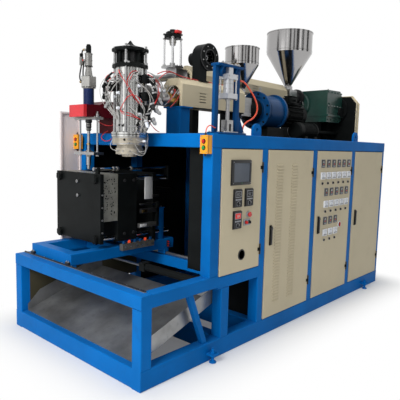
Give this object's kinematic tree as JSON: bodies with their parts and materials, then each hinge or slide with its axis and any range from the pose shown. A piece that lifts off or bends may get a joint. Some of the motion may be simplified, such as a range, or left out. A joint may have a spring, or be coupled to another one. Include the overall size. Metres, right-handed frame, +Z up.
{
  "type": "blow moulding machine",
  "caption": "Extrusion blow moulding machine: steel frame with control cabinets, shuttle clamp and mould, die head, blow pin station, and two hopper-fed screw extruders on top.",
  "frame": {"origin": "middle of the footprint, on the floor", "axes": "+X along the machine to the drive end, +Y across to the far side away from the doors, +Z up"},
  "size_m": [4.03, 1.92, 3.126],
  "materials": {
    "frame_blue": "gloss enamel over steel",
    "door_cream": "satin powder coat",
    "black_steel": "satin black paint",
    "bare_steel": "machined",
    "polished": "polished bar",
    "stainless": "polished stainless sheet",
    "mould_metal": "milled",
    "arm_red": "gloss red paint",
    "drive_blue": "gloss blue paint",
    "gear_green": "semi gloss dark green paint",
    "sheet_metal": "galvanised sheet",
    "screen_black": "gloss",
    "instrument_grey": "matte",
    "switch_black": "matte",
    "stop_red": "gloss",
    "start_green": "gloss",
    "box_orange": "gloss",
    "hose_orange": "smooth polyurethane",
    "cylinder_alloy": "anodised",
    "ring_beige": "heat stained steel"
  },
  "bodies": {
    "frame": {"base_beams": "frame_blue", "low_frame": "frame_blue", "upper_frame": "frame_blue", "extruder_deck": "black_steel", "discharge_chute": "sheet_metal", "cabinet_panels": "door_cream", "door_hinges": "black_steel", "control_box": "door_cream", "button_boxes": "box_orange", "shuttle_rails": "bare_steel", "shuttle_cylinder": "cylinder_alloy", "die_head": "stainless", "die_rings": "ring_beige", "die_crown": "black_steel", "die_stays": "bare_steel", "blow_arm": "arm_red", "blow_cylinder": "cylinder_alloy", "lift_bracket": "frame_blue", "lift_cylinder": "cylinder_alloy", "extruder_barrels": "bare_steel", "barrel_covers": "door_cream", "small_hopper": "stainless", "main_hopper": "stainless", "small_drive": "drive_blue", "main_gearbox": "gear_green", "main_motor": "drive_blue", "belt_guard": "door_cream", "blower_housing": "black_steel", "accumulator_cylinder": "bare_steel", "lift_hose": "hose_orange", "button_hose": "hose_orange"},
    "door_1": {"door_1": "door_cream", "touch_screen": "screen_black", "door_1_instruments": "instrument_grey"},
    "emergency_stop": {"emergency_stop": "stop_red"},
    "door_2": {"door_2": "door_cream"},
    "door_3": {"door_3": "door_cream", "door_3_instruments": "instrument_grey"},
    "door_4": {"door_4": "door_cream"},
    "door_2_handle": {"door_2_handle": "switch_black"},
    "door_3_handle": {"door_3_handle": "switch_black"},
    "door_4_handle": {"door_4_handle": "switch_black"},
    "near_stop_button": {"near_stop_button": "stop_red"},
    "near_start_button": {"near_start_button": "start_green"},
    "far_stop_button": {"far_stop_button": "stop_red"},
    "far_start_button": {"far_start_button": "start_green"},
    "carriage": {"carriage": "frame_blue", "clamp_cylinder": "black_steel", "water_manifold": "mould_metal", "shuttle_rod": "polished"},
    "front_clamp": {"front_platen": "black_steel", "tie_bars": "polished", "mould_front_half": "mould_metal"},
    "rear_clamp": {"moving_platen": "black_steel", "clamp_ram": "polished", "mould_rear_half": "mould_metal"},
    "blow_pin": {"blow_pin": "bare_steel"},
    "lift_rod": {"lift_rod": "bare_steel"},
    "gearbox_pulley": {"gearbox_pulley": "black_steel"},
    "blower_wheel": {"blower_wheel": "black_steel"}
  },
  "joints": [
    {"name": "door_1_hinge", "type": "hinge", "parent": "frame", "child": "door_1", "pos_m": [-0.672, -0.896, 1], "axis": [0, 0, 1], "range_deg": [0, 110]},
    {"name": "door_2_hinge", "type": "hinge", "parent": "frame", "child": "door_2", "pos_m": [0.204, -0.896, 1], "axis": [0, 0, 1], "range_deg": [0, 110]},
    {"name": "door_3_hinge", "type": "hinge", "parent": "frame", "child": "door_3", "pos_m": [1.08, -0.896, 1], "axis": [0, 0, 1], "range_deg": [0, 110]},
    {"name": "door_4_hinge", "type": "hinge", "parent": "frame", "child": "door_4", "pos_m": [1.956, -0.896, 1], "axis": [0, 0, 1], "range_deg": [0, 110]},
    {"name": "emergency_stop_press", "type": "slide", "parent": "door_1", "child": "emergency_stop", "axis": [0, 1, 0], "range_m": [0, 0.006], "stiffness_N_per_m": 900, "springref_m": -0.002},
    {"name": "door_2_handle_turn", "type": "hinge", "parent": "door_2", "child": "door_2_handle", "pos_m": [-0.51, -0.901, 0.984], "axis": [0, 1, 0], "range_deg": [0, 90]},
    {"name": "door_3_handle_turn", "type": "hinge", "parent": "door_3", "child": "door_3_handle", "pos_m": [0.366, -0.901, 0.984], "axis": [0, 1, 0], "range_deg": [0, 90]},
    {"name": "door_4_handle_turn", "type": "hinge", "parent": "door_4", "child": "door_4_handle", "pos_m": [1.242, -0.901, 0.984], "axis": [0, 1, 0], "range_deg": [0, 90]},
    {"name": "near_stop_press", "type": "slide", "parent": "frame", "child": "near_stop_button", "axis": [1, 0, 0], "range_m": [0, 0.0035], "stiffness_N_per_m": 600, "springref_m": -0.002},
    {"name": "near_start_press", "type": "slide", "parent": "frame", "child": "near_start_button", "axis": [1, 0, 0], "range_m": [0, 0.0035], "stiffness_N_per_m": 600, "springref_m": -0.002},
    {"name": "far_stop_press", "type": "slide", "parent": "frame", "child": "far_stop_button", "axis": [1, 0, 0], "range_m": [0, 0.0035], "stiffness_N_per_m": 600, "springref_m": -0.002},
    {"name": "far_start_press", "type": "slide", "parent": "frame", "child": "far_start_button", "axis": [1, 0, 0], "range_m": [0, 0.0035], "stiffness_N_per_m": 600, "springref_m": -0.002},
    {"name": "shuttle_travel", "type": "slide", "parent": "frame", "child": "carriage", "axis": [0, 1, 0], "range_m": [-0.583, 0]},
    {"name": "front_clamp_travel", "type": "slide", "parent": "carriage", "child": "front_clamp", "axis": [1, 0, 0], "range_m": [-0.13, 0]},
    {"name": "rear_clamp_travel", "type": "slide", "parent": "carriage", "child": "rear_clamp", "axis": [1, 0, 0], "range_m": [0, 0.13]},
    {"name": "blow_pin_travel", "type": "slide", "parent": "frame", "child": "blow_pin", "axis": [0, 0, 1], "range_m": [-0.06, 0.1]},
    {"name": "lift_rod_travel", "type": "slide", "parent": "frame", "child": "lift_rod", "axis": [0, 0, 1], "range_m": [0, 0.08]},
    {"name": "pulley_spin", "type": "hinge", "parent": "frame", "child": "gearbox_pulley", "pos_m": [1.89, -0.245, 2.23], "axis": [1, 0, 0], "continuous": true},
    {"name": "blower_spin", "type": "hinge", "parent": "frame", "child": "blower_wheel", "pos_m": [-0.62, -0.15, 2.535], "axis": [0, 1, 0], "continuous": true}
  ],
  "couplings": [
    {"joint": "front_clamp_travel", "follows": "rear_clamp_travel", "ratio": -1}
  ]
}
